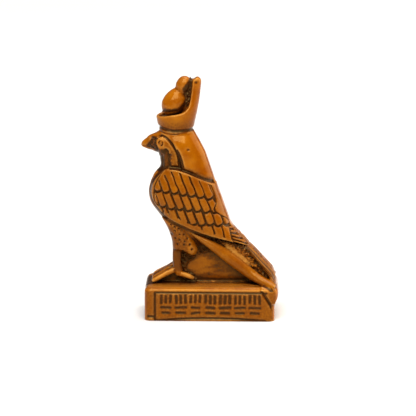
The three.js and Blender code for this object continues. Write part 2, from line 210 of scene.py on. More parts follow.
# Hood: the smooth head cloth behind the face. It is a skin cut off along the line where the face
# begins, so that it stands about half a millimetre proud of the cheeks and the throat.
hood_sections = [
    (46, -29, 3.8, 10.4, 2.3), (52, -27, 1.7, 9.6, 2.3), (58, -25, -0.3, 9.3, 2.3),
    (64, -25, -2.5, 9.1, 2.3), (67.6, -24.7, -4.4, 8.7, 2.3), (70.2, -24.4, -5.8, 7.8, 2.3),
    (72.4, -24, -7, 6.4, 2.3), (74.4, -23.8, -8.2, 4.8, 2.3),
]
hood_edge = line([(-25.5, 72.9), (-22.1, 72.5), (-19.1, 71.2), (-16.8, 67.2), (-14.9, 62.4),
                  (-13.4, 57.7), (-12.6, 50)], 24)


def plate(name, outline, low, high):
    """A side view outline in millimetres, drawn out across the figure from one x to another."""
    outline = np.array(outline)
    rings = [np.insert(outline, 0, x, axis=1) for x in (low, high)]
    return skin(name, rings)


def slab(name, outline, half=30.0):
    """A plate whose outline is in hundredths of the falcon's height."""
    return plate(name, [place(y, z)[1:] for y, z in outline], -half * share, half * share)


def trimmed(piece, tool, operation='INTERSECT'):
    """The piece, cut by a tool that is then thrown away."""
    bpy.context.view_layer.objects.active = piece
    cut = piece.modifiers.new("cut", 'BOOLEAN')
    cut.operation = operation
    cut.object = tool
    cut.solver = 'MANIFOLD'
    bpy.ops.object.modifier_apply(modifier=cut.name)
    bpy.data.objects.remove(tool)
    return piece


hood_limits = [*hood_edge, (8, 46), (8, 76), (-25.5, 76)]
casting.append(trimmed(levels("hood", hood_sections), slab("hood limits", hood_limits)))

# Crown: a flaring cup whose back rises as a tall flat spire, hollowed a little behind its rim,
# with a rounded bulb that leans back in it and rough resin left in the gap behind the bulb.
crown_sections = [
    (72.6, -24, -8.2, 6.4, 2.2), (76, -24.8, -7.5, 7.2, 2.2), (80, -25.7, -6.6, 8.4, 2.2),
    (84, -26.4, -5.8, 8.3, 2.2), (88, -27, -5.1, 7, 2.2), (93, -27, -4.5, 5.4, 2.2),
    (100, -27, -3.8, 4.4, 2.2),
]
crown_edge = line([(-25.4, 80.7), (-22.4, 81.3), (-19.2, 82), (-15.9, 82.4), (-13.1, 83.1),
                   (-11.2, 84.3), (-9.8, 86.4), (-8.8, 91.4), (-8.2, 96.8)], 32)
spire_tip = line([(-7.9, 98.2), (-6, 99.4), (-4.3, 98.4)], 8)
crown_outline = [(-28, 72.6), (-28, 80.3), *crown_edge, *spire_tip, (-3, 97), (-3, 72.6)]
cup = trimmed(levels("cup", crown_sections), slab("crown limits", crown_outline))
rim_thickness = 1.5
hollow_sections = [
    (z, front + rim_thickness, -9.4 - rim_thickness, half - rim_thickness, 2.2)
    for z, front, back, half in ((79.2, -25.4, -6.8, 8.6), (84, -26.4, -5.8, 8.5), (92, -27, -5, 8.5))]
casting.append(trimmed(cup, levels("cup hollow", hollow_sections, steps=4), 'DIFFERENCE'))
casting.append(slab("crown fill", [
    (-20, 79), (-8, 79), (-8, 98.3), (-9, 98.6), (-11, 96.5), (-12.8, 92), (-14.5, 86)], 2.1))
casting.append(levels("crown base", [
    (71.8, -24, -7.2, 6.5, 2.2), (73.2, -24.4, -7.4, 6.9, 2.2), (74.6, -24.2, -7.9, 6.5, 2.2)],
    steps=6))
bulb_lean = math.radians(27)
bulb_axis = np.array([math.sin(bulb_lean), math.cos(bulb_lean)])
bulb_foot = np.array([-17.4, 86.0])
bulb_profile = [(-6.2, 1.6), (-5, 3.6), (-1.8, 5.5), (1.6, 5.6), (4.4, 4.8), (6.3, 3.9), (7.7, 3.35),
                (9.8, 3.65), (12, 3.5), (13.9, 2.6), (14.9, 1.1)]
casting.append(limb("bulb", [
    (*(bulb_foot + rise * bulb_axis), radius, radius, 0) for rise, radius in bulb_profile],
    steps=40, sides=40))

# Wings: a raised slab on each side of the body, with its edge along the shoulder, the breast and
# the line of the folded wing. The feathers are carved in the joined skin further on.
wing_sections = [
    (16, -14, 20.8, 10.2, 3.6), (20, -16, 17.6, 10.9, 3.6), (24, -19, 13.8, 11.5, 3.4),
    (28, -21, 10.5, 12, 2.9), (32, -23.9, 9, 12.5, 2.6), (36, -26.8, 7.5, 12.9, 2.3),
    (40, -28.9, 6.2, 13.2, 2.3), (44, -29, 4.7, 13.1, 2.3), (48, -28.6, 3.3, 12.5, 2.3),
    (52, -27, 1.9, 11.6, 2.3), (56, -25, 0.5, 10.6, 2.3), (60, -24, -0.9, 9.9, 2.3),
]
wing_top = [(9, 46), (3.3, 48.3), (-5.6, 52.4), (-11.1, 54.8), (-15.2, 56), (-19, 56.2)]
wing_front = [(-22.2, 54.7), (-26, 50.4), (-27.8, 46), (-27.5, 42), (-25.2, 37.8), (-20.2, 33)]
wing_foot = [(-11.7, 28.7), (-1, 24.5), (9, 21.6), (18.9, 18.4)]
wing_edge = line([*wing_top, *wing_front, *wing_foot], 60)
wing_outline = [*wing_edge, (24, 20)]
casting.append(trimmed(levels("wings", wing_sections), slab("wing limits", wing_outline)))

# Tail, recess and web: an arched blade down the back, a sunk rough field below the wing, and a
# thin sheet of resin left between the legs and the tail.
tail_top = line([(10.4, 26.4), (15.6, 21.8), (21, 16.3), (26.5, 10.4), (29.5, 7.2), (31.2, 4.4),
                 (31.9, 1.5), (32.3, -2)], 14)
tail_thickness = np.interp(tail_top[:, 1], [2, 7, 14, 20], [2, 1.7, 1.25, 0.9])
tail_heading = np.gradient(tail_top, axis=0)
tail_heading /= np.hypot(*tail_heading.T)[:, None]
tail_half = np.interp(tail_top[:, 1], [5, 17, 20, 26.4], [10, 8.8, 6, 2.4])
tail_top[:, 1] -= np.interp(tail_top[:, 1], [17, 21.5], [0, 0.8])
casting.append(limb("tail", [
    (y + dz * thickness, z - dy * thickness, half, thickness, 0)
    for (y, z), (dy, dz), half, thickness in zip(tail_top, tail_heading, tail_half, tail_thickness)],
    squareness=2.1, sides=48))
recess_outline = [(-9, 26), (-1, 23.5), (9, 20.4), (16.8, 18.4), (21, 14), (25.6, 8.4), (30, 2.4),
                  (30, -1), (22, 0), (10, 12), (-5, 22)]
casting.append(slab("recess", recess_outline, 7.2))
web_outline = [(-15, -2), (-15, 17), (-8, 25), (10, 14), (26, 1.5), (26, -2)]
casting.append(slab("web", web_outline, 3))

# Lower bands: the folded wing tips, a smooth round bar on each side down to the plinth's end,
# where they spread out sideways. Their table adds that spread: [y, z, half width, half depth, spread].
band_x = 8.4
band_stops = [
    (-9.6, 26, 0.8, 0.4, 0), (-5, 22.9, 1.8, 1.3, 0), (0.9, 19.2, 2.4, 2.15, 0),
    (6.4, 15.4, 2.5, 2.7, 0), (11, 11.9, 2.5, 2.8, 0), (15.4, 8.5, 2.5, 2.75, 0),
    (20.6, 4.7, 2.6, 2.5, 0.4), (25.6, 1.9, 3.2, 2.15, 1.9), (31.5, -0.2, 4.5, 1.9, 4.5),
]
for side in (1, -1):
    casting.append(limb("lower band", [
        (*stop, side * (band_x + spread)) for *stop, spread in band_stops], squareness=2.2))

# Legs: feathered thighs that end in a hanging lobe, round shanks, three toes forward and one
# back, and a low swell of resin that the feet stand in.
thigh_sections = [
    (12, -17.4, -7, 3.6, 2.3), (16.4, -17.7, -5.6, 4.4, 2.3), (20, -18, -7, 4.7, 2.3),
    (24, -19, -9, 4.9, 2.3), (28, -20.7, -10, 4.8, 2.3), (32, -23, -11, 4.4, 2.3),
]
thigh_lobe = line([(-12.3, 16), (-9.9, 14.6), (-7.6, 13.6), (-5.6, 14.6)], 12)
thigh_foot = [(-26, 16.2), (-13.1, 16.2), *thigh_lobe]
thigh_limits = [(-26, 34), *thigh_foot, (-5, 34)]
shank = [(-14.6, 3.4, 1.5, 1.3), (-15, 5.6, 2, 2.05), (-15.5, 9, 2, 2.1), (-15.6, 13, 2, 2.2),
         (-15.4, 18, 2.2, 2.4)]
toe = [(-27.5, 0.9, 0.9, 0.9), (-25.2, 2.2, 1.15, 1.15), (-20.6, 4.7, 1.2, 1.2), (-15.8, 6.7, 1.45, 1.4)]
heel = [(-15, 4.6, 1.3, 1.3), (-11.6, 3.9, 1.3, 1.25), (-9.4, 3.1, 1.25, 1.2), (-7.2, 2.2, 1, 0.95)]
thigh_x = 4.9
leg_x = 5.1
toe_spread = 2.9
heel_spread = 1.7
swell_outline = [(-27.8, -1), (-27.6, 2.4), (-24.6, 4.4), (-21.5, 6), (-17.9, 8.7), (-13.4, 5.4),
                 (-7.6, 1.7), (-6.6, -1)]
for side in (1, -1):
    thigh = levels("thigh", thigh_sections, x=side * thigh_x)
    casting.append(trimmed(thigh, slab("thigh limits", thigh_limits)))
    casting.append(limb("shank", [(*stop, side * leg_x) for stop in shank], squareness=2.2))
    for spread in (-toe_spread, 0, toe_spread):
        casting.append(limb("toe", [
            (*stop, side * (leg_x + spread * part)) for stop, part in zip(toe, (1, 0.95, 0.65, 0.2))],
            sides=20, blunt=True))
    casting.append(limb("heel", [
        (*stop, side * (leg_x + heel_spread * part)) for stop, part in zip(heel, (0.3, 0.75, 0.95, 1))],
        sides=20, blunt=True))
casting.append(slab("foot swell", swell_outline, 3.1))

# Plinth: a block with rounded top edges and corners, and the flap at its tail end, where the
# tail hangs over the back edge as a blunt tongue.
plinth_length = 21.4
plinth_width = 12.0
plinth_middle = 0.09
plinth_edge = 0.9
plinth_corner = 1.1
plinth_back = plinth_middle + plinth_length / 2
plinth_front = plinth_middle - plinth_length / 2


def block(name, half, front, back, height, corner, edge):
    """A block drawn up from its foot, whose last rings round its top edge over."""
    rings = []
    turns = np.linspace(0, math.pi / 2, 9)
    rounding = [(height - edge * (1 - math.sin(t)), edge * (1 - math.cos(t))) for t in turns]
    for rise, inset in [(0, 0), *rounding]:
        radius = corner - inset / 2
        quarters = []
        for quarter in range(4):
            angle = quarter * math.pi / 2 + turns
            middle_x = (half - inset - radius) * (1 if quarter in (0, 3) else -1)
            middle_y = back - inset - radius if quarter < 2 else front + inset + radius
            quarters.append(np.stack([
                middle_x + radius * np.cos(angle), middle_y + radius * np.sin(angle),
                0 * angle + rise], 1))
        rings.append(np.concatenate(quarters))
    return skin(name, rings)


casting.append(block("plinth", plinth_width / 2, plinth_front, plinth_back, plinth_height,
                     plinth_corner, plinth_edge))
flap_thickness = 0.6
flap_drop = 2.75
flap_proud = 0.2
flap_edge = 1.2
flap_start = plinth_back - 2.2
flap_end = plinth_back + flap_thickness
flap_outline = [(y, plinth_height + rise) for y, rise in (
    (flap_start, 1), (flap_start, -0.3), (flap_start + 0.7, -1.2), (plinth_back - 0.45, -flap_drop),
    (plinth_back + 0.1, -flap_drop), (flap_end, -1.6), (flap_end, 1))]
casting.append(trimmed(
    block("flap", plinth_width / 2 + flap_proud, plinth_front, flap_end, plinth_height + flap_proud,
          plinth_corner + flap_thickness, flap_edge),
    plate("flap limits", flap_outline, -plinth_width, plinth_width)))

# One skin: the forms are joined and remeshed into a single closed casting. The whole skin is
# evened out a little and its rims and cut edges more, as in a mould, and the tail end is a little
# shallower on the hidden side.
skin_grain = 0.085
bpy.ops.object.select_all(action='DESELECT')
for form in casting:
    form.select_set(True)
bpy.context.view_layer.objects.active = casting[0]
bpy.ops.object.join()
figure = bpy.context.object
figure.name = "falcon_casting"
remesh = figure.modifiers.new("one skin", 'REMESH')
remesh.mode = 'VOXEL'
remesh.voxel_size = skin_grain
bpy.ops.object.modifier_apply(modifier=remesh.name)


def relaxed(mesh, values, passes):
    """Values on a mesh's points, moved halfway to their neighbours' mean again and again."""
    ends = np.empty(len(mesh.edges) * 2, np.int32)
    mesh.edges.foreach_get("vertices", ends)
    a, b = ends.reshape(-1, 2).T
    count = len(mesh.vertices)
    neighbours = np.bincount(a, minlength=count) + np.bincount(b, minlength=count)
    values = values.copy()
    for _ in range(passes):
        for column in values.T:
            total = np.bincount(a, column[b], count) + np.bincount(b, column[a], count)
            column += 0.5 * (total / neighbours - column)
    return values


def step(low, high, value):
    """Rises smoothly from 0 to 1 as a value goes from low to high."""
    t = np.clip((value - low) / (high - low), 0, 1)
    return t * t * (3 - 2 * t)


def distance(spots, path):
    """Distance from side view spots to a path of straight runs."""
    nearest = np.full(len(spots), 1e9)
    path = np.array(path, float)
    for start, end in zip(path[:-1], path[1:]):
        run = end - start
        along = np.clip(((spots - start) @ run) / (run @ run), 0, 1)
        gap = spots - start - along[:, None] * run
        nearest = np.minimum(nearest, np.hypot(*gap.T))
    return nearest


points = relaxed(figure.data, read(figure.data, "co"), 5)
side_view = np.stack([points[:, 1] / share, (points[:, 2] - plinth_height) / share], 1)
breadth = np.abs(points[:, 0]) / share
rounder = relaxed(figure.data, points, 30)
for path, near, broad in (
        (crown_edge, 2.2, 12), (spire_tip, 2, 12), (swell_outline, 2.6, 4.5),
        (thigh_foot, 1.8, 12), (hood_edge, 1.4, 12)):
    softened = step(near, near * 0.4, distance(side_view, path)) * (breadth <= broad)
    points += softened[:, None] * (rounder - points)
hidden_shallower = 0.35
at_tail_end = step(plinth_back - 0.6, plinth_back + 0.4, points[:, 1])
points[:, 1] -= hidden_shallower * at_tail_end * step(3, -6, points[:, 0])
underside = points[:, 2] < 0.15
points[underside, 2] = 0
put(figure.data, points)

# Carving: feathers, face, leg dots, recess, panel lines and strokes, cut into the joined skin.
# Each is a depth in millimetres at the skin's points, worked out in the side view, and leaves an
# amount of dark wash there.
points = read(figure.data, "co")
facing = read(figure.data, "normal")
side_view = np.stack([points[:, 1] / share, (points[:, 2] - plinth_height) / share], 1)
y_at, z_at = side_view.T
breadth = np.abs(points[:, 0]) / share
depth = np.zeros(len(points))
wash_and_shade = np.zeros(len(points))
chance = random.Random(7)


def inside(spots, outline):
    """Whether side view spots lie in an outline."""
    outline = np.array(outline, float)
    result = np.zeros(len(spots), bool)
    for (y0, z0), (y1, z1) in zip(outline, np.roll(outline, -1, 0)):
        crosses = (z0 > spots[:, 1]) != (z1 > spots[:, 1])
        rise = z1 - z0 if z1 != z0 else 1e-9
        result ^= crosses & (spots[:, 0] < (y1 - y0) * (spots[:, 1] - z0) / rise + y0)
    return result


def deepen(layer, where, amount):
    """Brings a layer, such as depth or wash, up to an amount on the points that where picks."""
    layer[where] = np.maximum(layer[where], amount)


def groove(where, path, width, deep, darken=1.0, view=side_view):
    """Cuts a round groove along a path in a view, on the points that where picks."""
    gap = distance(view[where], path)
    cut = np.exp(-(gap / (width / 2)) ** 2)
    deepen(depth, where, deep * cut)
    deepen(wash_and_shade, where, darken * np.minimum(cut * 1.4, 1))


def stain(where, outline, amount, soft):
    """Leaves wash, and in places painted shade, in a side view outline, fading out over a soft edge."""
    gap = distance(side_view[where], [*outline, outline[0]])
    inward = np.where(inside(side_view[where], outline), gap, -gap)
    deepen(wash_and_shade, where, amount * step(-soft, soft, inward))


# Feathers: three rows with round tips that lean forward as they rise, each row coming out from
# under the one above, and a last row of short upright feathers with slanting quills behind it.
feather_deep = 0.32
feather_pitch = 4.2
feather_width = 3.2
tip_shadow = 0.8
top_rim = 0.9
wing_rim = smooth([(-27, 0.9), (-24, 1.1), (-18, 1.7), (-8, 1.8), (0, 1.3), (8, 0.9), (12, 0.5)])
spine_half = smooth([(20, 2.6), (27, 3), (31, 4.2), (33.5, 7.6), (36, 9.2), (40, 7.7), (45, 7),
                     (50, 7.2)])
feather_rows = [
    (smooth([(-26, 46.2), (-11, 44.4), (4, 41.3), (12, 38)]), 23, -24.4, 8),
    (smooth([(-26, 38.8), (-12, 37.3), (8, 35), (12, 34.6)]), 23, -25.9, 9),
    (smooth([(-26, 30.6), (-8, 29.9), (2, 29.9), (14, 29.4)]), 21, -24, 9),
]
in_wing = inside(side_view, wing_outline) & (breadth > 3.5)
on_wing = np.flatnonzero(in_wing)
wobble_size = 0.22
wobble = np.array([noise.noise(Vector((y * 0.25, z * 0.25, 0))) for y, z in side_view[on_wing]])
spots = side_view[on_wing] + wobble_size * wobble[:, None]


def feather(tip, lean, width):
    """Signed distance to one feather: a strip with a round tip, negative inside."""
    up = np.array([-math.sin(lean), math.cos(lean)])
    out = np.abs((spots - tip) @ np.array([up[1], -up[0]]))
    rise = (spots - tip) @ up
    radius = width / 2
    corner = radius * 0.68
    square_tip = np.hypot(np.maximum(out - radius + corner, 0), np.maximum(corner - rise, 0)) - corner
    return np.where(rise > corner, out - radius, np.maximum(square_tip, out - radius))


def profile(gap):
    """Height of a carved form's edge: the floor outside it, full height a little way inside."""
    return step(0.12, -0.3, gap)


last_dividers = (-7.2, -2.7, 2.7, 7.2)
fan_top, fan_foot = np.array([9.2, 29.2]), np.array([11.9, 20])
height = np.ones(len(spots))
for y in last_dividers:
    height = np.minimum(height, step(0.12, 0.5, np.abs(spots[:, 0] - y + 0.22 * (spots[:, 1] - 24))))
height = np.minimum(height, step(0.15, 0.5, distance(spots, [fan_top, fan_foot])))
quill_slope = math.tan(math.radians(24))
quill_pitch = 1.28
lean_back = (fan_foot - fan_top)[0] / (fan_foot - fan_top)[1]
fan = spots[:, 0] > fan_top[0] + (spots[:, 1] - fan_top[1]) * lean_back
quill = (spots[:, 1] + spots[:, 0] * quill_slope) / quill_pitch
height[fan] = np.minimum(height[fan], step(0.2, 0.75, np.abs((quill[fan] % 1) - 0.5) * 2))
for tips, lean, first, count in reversed(feather_rows):
    row = np.full(len(spots), 1e9)
    for i in range(count):
        y = first + i * feather_pitch
        tip = np.array([y, tips(y) + chance.uniform(-0.35, 0.35)])
        turn = math.radians(lean + chance.uniform(-0.6, 0.6))
        row = np.minimum(row, feather(tip, turn, feather_width + chance.uniform(-0.12, 0.12)))
    beneath = step(tip_shadow, tip_shadow + 0.3, row)
    height = np.where(row < tip_shadow, profile(row), np.minimum(height, beneath))
top_gap = distance(spots, line(wing_top, 20))
edge_gap = distance(spots, line([*wing_front, *wing_foot], 40))
height = np.maximum(height, 1 - step(top_rim, top_rim + 0.3, top_gap))
rim = wing_rim(spots[:, 0])
height[~fan] = np.maximum(height, 1 - step(rim, rim + 0.3, edge_gap))[~fan]
from_spine = breadth[on_wing] - spine_half(z_at[on_wing])
height = np.maximum(height, 1 - step(0, 0.5, from_spine))
spine_line = step(0.5, 0.15, np.abs(from_spine - 0.4)) * (top_gap > 1) * step(27, 29, z_at[on_wing])
height = np.minimum(height, 1 - spine_line)
wing_rim_gap = np.full(len(points), 9.0)
wing_rim_gap[on_wing] = np.minimum(edge_gap, top_gap)
rim_bead = 0.13 * np.exp(-((wing_rim_gap[on_wing] - 0.5) / 0.35) ** 2)
depth[on_wing] = feather_deep * (1 - height) - rim_bead
wash_and_shade[on_wing] = 0.98 * (1 - height)

# Face: an eye in a ring, the dark hollow between beak and eye, the ridge under the eye, the dark
# throat, and the collar strip with its beaded inner edge between the throat and the hood.
near_face = np.flatnonzero((z_at > 54) & (z_at < 74) & (y_at < -11) & ~in_wing)
face_view = side_view[near_face]
beside_beak = [(-27.8, 71), (-25.6, 71.8), (-23.4, 71.4), (-23.3, 70.7), (-24.8, 70.2), (-25.5, 69.2),
               (-25.2, 67.8), (-24.7, 66.8), (-24.1, 65), (-26.4, 64.8), (-28.3, 65.3), (-30.6, 65.4),
               (-30.2, 66.7), (-28.7, 68.6), (-28, 70)]
mottle = np.array([noise.fractal(Vector((y * 0.5, z * 0.5, 2)), 0.6, 2.1, 3) for y, z in face_view])
stain(near_face, beside_beak, 1.15, 0.5)
wash_and_shade[near_face] *= 1 - 0.5 * step(0.1, 0.5, mottle)
pitted = np.array([noise.turbulence(Vector((y * 1.3, z * 1.3, 0)), 3, False) for y, z in face_view])
deepen(depth, near_face, (0.06 + 0.24 * pitted) * wash_and_shade[near_face])
beak = [(-34, 64), (-34, 70), (-28, 73), (-25, 66), (-25, 62)]
stain(near_face, beak, 0.32, 0.6)
under_beak = [(-31.5, 65.3), (-28.6, 65), (-26, 64.6), (-25.2, 62.4), (-28, 62.4), (-31, 63.8)]
stain(near_face, under_beak, 0.5, 0.5)
throat_hollow = [(-25, 65), (-19.9, 65.4), (-19.2, 61), (-19.2, 56), (-26, 54)]
stain(near_face, throat_hollow, 0.72, 1.0)
# Painted shade: the throat's forward-facing side is darkened.
throat_front_shade = step(-0.2, -0.65, facing[near_face][:, 1]) * step(64.6, 63, face_view[:, 1])
deepen(wash_and_shade, near_face, 1.1 * throat_front_shade)
groove(near_face, [(-22.6, 62.6), (-22.3, 59.6), (-22.6, 56)], 1.0, 0.1, 0.9)
groove(near_face, [(-25, 64.3), (-23.9, 61.3), (-23.9, 58.2), (-24.4, 55)], 2.8, 0.05, 1.0)
hood_joint = line([(-27.6, 70.4), (-24.4, 71.7), (-21, 71), (-18.5, 68.6), (-16.8, 65.9), (-15.6, 63.2),
                   (-14.9, 60.6), (-14.3, 56.6)], 20)
hood_fold = line([(-15.4, 65.2), (-14.1, 62.8), (-13.1, 59.9), (-12.5, 56.8)], 8)
collar_inside = line([(-20.6, 65.4), (-19.6, 63.7), (-19.2, 61.8), (-19.5, 59.9), (-18.9, 57)], 10)
groove(near_face, hood_joint, 1.1, 0.24)
groove(near_face, hood_fold, 1.0, 0.2)
groove(near_face, collar_inside, 1.9, 0.26)
groove(near_face, [(-31.9, 65.9), (-29.9, 66.2)], 0.7, 0.06, 0.5)
under_eye = [(-23.8, 65.4), (-20.5, 65.5), (-19.7, 64), (-21, 62.9), (-23.2, 63)]
stain(near_face, under_eye, 1.0, 0.4)
face_plate = [*hood_joint, (-19, 56.6), (-19.4, 60), (-20, 64.5), (-25, 65)]
stain(near_face, face_plate, 0.46, 0.5)
eye_place, eye_half = np.array([-23.4, 68.1]), np.array([0.98, 1.2])
from_eye = np.hypot(*((face_view - eye_place) / eye_half).T)
moat = np.exp(-((from_eye - 1.0) / 0.3) ** 2)
ringed = np.exp(-((from_eye - 1.75) / 0.3) ** 2)
crescent = 0.2 + 0.8 * step(0.2, 0.9, np.abs((face_view - eye_place) @ np.array([0.93, -0.37])))
deepen(depth, near_face, 0.16 * moat * crescent)
depth[near_face] -= 0.08 * ringed
wash_and_shade[near_face] *= 1 - 0.8 * ringed
deepen(wash_and_shade, near_face, moat * crescent)
cheek = line([(-24.7, 67.6), (-23.5, 66.3), (-21.5, 66.2), (-19.9, 65.8), (-19, 64.6),
              (-19.1, 63.4)], 12)
cheek_ridge = np.exp(-(distance(face_view, cheek) / 0.4) ** 2)
depth[near_face] -= 0.28 * cheek_ridge
wash_and_shade[near_face] *= 1 - 0.85 * cheek_ridge
collar_rim = line([(-22.6, 71.2), (-20.4, 69.3), (-18, 66.2), (-16.4, 63.4), (-15.7, 59.9)], 12)
rolled = np.exp(-(distance(face_view, collar_rim) / 0.34) ** 2)
depth[near_face] -= 0.18 * rolled
wash_and_shade[near_face] *= 1 - 0.8 * rolled
beads = step(-0.2, 0.6, np.sin(face_view[:, 1] * 3.1)) * np.exp(
    -(distance(face_view, collar_inside + (1.3, 0)) / 0.6) ** 2)
depth[near_face] -= 0.16 * beads
brow = (face_view[:, 1] > 71.3 - 0.35 * (face_view[:, 0] + 27)) & (facing[near_face][:, 2] > 0.55)
wash_and_shade[near_face] *= 1 - 0.75 * brow
# Painted highlights: the collar rim and the ridge under the eye are painted pale.
painted_highlight = np.zeros(len(points))
painted_highlight[near_face] = np.maximum(0.4 * rolled, 0.55 * cheek_ridge)

# Crown: two dark lines round its foot with a rolled ring between them, a crease under the knob,
# and small casting pits on the hood and the spire.
crown = np.flatnonzero((z_at > 71) & (y_at > -26))
upper_joint = line([(-26, 75.6), (-23.3, 75.2), (-20, 74.6), (-16.7, 74.2), (-12, 74.3), (-7, 74.4)], 12)
lower_joint = line([(-26, 74), (-22.5, 73.4), (-20.4, 72.9), (-16.7, 72.5), (-13.8, 73),
                    (-11, 73.3)], 12)
groove(crown, upper_joint, 1.7, 0.18, 0.95)
groove(crown, lower_joint, 0.9, 0.08, 0.6)
on_bulb = np.flatnonzero((z_at > 82) & (breadth < 6.5) & (y_at < -9.4))
up_bulb = (side_view[on_bulb] - bulb_foot) @ bulb_axis
aside = (side_view[on_bulb] - bulb_foot) @ np.array([bulb_axis[1], -bulb_axis[0]])
crease = np.exp(-((up_bulb - 7.4 + 0.12 * aside) / 1.1) ** 2)
deepen(depth, on_bulb, 0.1 * crease)
deepen(wash_and_shade, on_bulb, np.clip(0.2 + 0.3 * aside, 0.1, 0.95) * crease)
crown_gap = [(-22.6, 82.6), (-15.9, 83.3), (-12.9, 84.4), (-10.8, 86), (-9.6, 88), (-9.1, 91.4),
             (-8.4, 97), (-8.3, 99), (-9.2, 99.2), (-11.2, 96.8), (-13.2, 94.2), (-11.7, 89.8),
             (-12.6, 87.4), (-14.9, 85.4), (-18.1, 84.7), (-22, 84.6)]
inner = np.flatnonzero((z_at > 79) & (breadth < 6.2))
stain(inner, crown_gap, 1.0, 0.4)
pit_shape = (1.3, 1)
for pit_place, size in (((-10.1, 65.5), 0.6), ((-6.5, 97.2), 0.75)):
    from_pit = np.hypot(*((side_view - pit_place) / pit_shape).T)
    pit = np.exp(-(from_pit / size) ** 2) * (breadth > 2)
    depth = np.maximum(depth, 0.14 * pit)
    wash_and_shade = np.maximum(wash_and_shade, 0.9 * pit)

# Wing seam with painted shade on the hood above it, breast line, painted shadow under the wing, the
# dots on the thighs and the garter below them, painted shade in the corners behind the legs and under
# the lower bands, and the scores along the tail.
sides = np.flatnonzero((breadth > 3) & (z_at > -2))
seam = line([(10, 46.2), *(np.array(wing_top[1:]) + (0.2, 0.5))], 20)
groove(sides, seam, 1.3, 0.26)
# Painted shade: a soft brown band on the hood just above the seam.
stain(sides[~in_wing[sides]], [*(seam + (0.1, 0.2)), *(seam[::-1] + (0.4, 2))], 0.5, 0.9)
breast_line = line([(-19.6, 56.8), *(np.array(wing_front) - (0.75, 0))], 20)
groove(np.flatnonzero((breadth > 1.5) & ~in_wing), breast_line, 1.2, 0.16, 0.95)
# Painted shadow: a dark band on the body just below the wing's front and foot.
under_wing_shadow = np.array([*wing_front[-2:], *wing_foot]) - (0.5, 1.2)
groove(sides[~in_wing[sides]], line(under_wing_shadow, 20), 1.6, 0.06, 0.9)
dots = [(-18.4, 29), (-16.6, 28), (-14.7, 27.3), (-13.2, 26.5), (-16.5, 26), (-18.2, 24.2),
        (-14.2, 24.3), (-12, 24.3), (-16.4, 22.4), (-14.3, 21.6), (-11.8, 20.9), (-10.4, 22.3),
        (-12.1, 19.3), (-9.2, 19.2), (-15.4, 19.4), (-8.2, 16.8)]
thighs = np.flatnonzero((z_at > 12) & (z_at < 30) & (y_at < -4) & (breadth > 6.5))
for dot in dots:
    hole = np.exp(-(np.hypot(*(side_view[thighs] - dot).T) / chance.uniform(0.42, 0.64)) ** 2)
    deepen(depth, thighs, 0.24 * hole)
    deepen(wash_and_shade, thighs, np.minimum(1.5 * hole, 1))
groove(thighs, [(-18.5, 16.4), (-12.4, 16.3)], 0.6, 0.1)
inner_side = np.flatnonzero((breadth > 1) & (breadth < np.where(z_at > 9, 7.6, 3.8)) & (z_at > -0.5))
behind_thigh = [(-10.4, 27), (-8.8, 23.8), (-6.9, 20.1), (-5.4, 16.3), (-6, 13.6), (-3.4, 13.8),
                (0, 15), (4, 13.4), (-1.5, 18.8), (-7, 24.4)]
behind_leg = [(-14.2, 16), (-12, 14.6), (-8, 12.8), (-6.4, 13), (-8, 11), (-10.8, 9), (-11.4, 6),
              (-7.4, 3.4), (-6, 0.6), (-14.6, 2)]
web_foot = [(-14, -0.8), (27, -0.8), (24, 1.8), (12, 2), (-5, 1.6), (-14, 2.6)]
under_band = [(-7.3, 23.6), (-1.5, 18.4), (5.9, 12.4), (13.2, 6.8), (20.5, 2.7), (22, -0.5),
              (17.4, 1), (8.6, 7.6), (0.6, 14.2), (-5.4, 20.6)]
behind_heel = [(-12.4, 6.2), (-6.6, 3.6), (-1.9, 2.4), (4, 1.8), (4, 0.8), (-6, 0.8), (-9.2, 3.2),
               (-12.4, 4.4)]
# Painted shade in the corners behind the thigh, the leg and the heel, along the web's foot and under the
# lower band.
painted_corner_shade = ((behind_thigh, 0.95), (behind_leg, 0.9), (web_foot, 0.6), (under_band, 0.98),
                (behind_heel, 1.0))
for outline, amount in painted_corner_shade:
    stain(inner_side, outline, amount, 1.1)
groove(inner_side, [(-14, 1.1), (-5, 1.1), (8, 1.3), (20, 1.2), (26, 0.6)], 1.3, 0.03)
on_tail = np.flatnonzero((y_at > 14) & (z_at > -0.5) & ~in_wing & (breadth < 9.6)
                         & (facing[:, 2] > -0.05))
across_tail = breadth[on_tail] / np.interp(z_at[on_tail], [0, 17, 20], [9.9, 8.8, 6])
score_width = 0.035
for score_place in (0.2, 0.42, 0.6, 0.74, 0.86):
    score = np.exp(-((across_tail - score_place) / score_width) ** 2) * step(-0.5, 2.5, z_at[on_tail])
    deepen(depth, on_tail, 0.13 * score)
    deepen(wash_and_shade, on_tail, 0.85 * score)
tail_side = np.flatnonzero((y_at > 14) & (z_at > 0) & (z_at < 19.5) & ~in_wing
                           & (breadth > 6) & (0.7 * (y_at + z_at) > 23.2))
below_top = np.array([-0.72, -0.7])
for below in (0.55, 1.3, 2.05):
    groove(tail_side, tail_top + below_top * below, 0.42, 0.11, 0.9)
from_ridge = distance(side_view[tail_side], tail_top + below_top * 2.75)
# The ridge beside the scores is raised here and painted pale as a highlight further on.
tail_ridge = np.zeros(len(points))
tail_ridge[tail_side] = np.exp(-(from_ridge / 0.36) ** 2)
depth -= 0.1 * tail_ridge

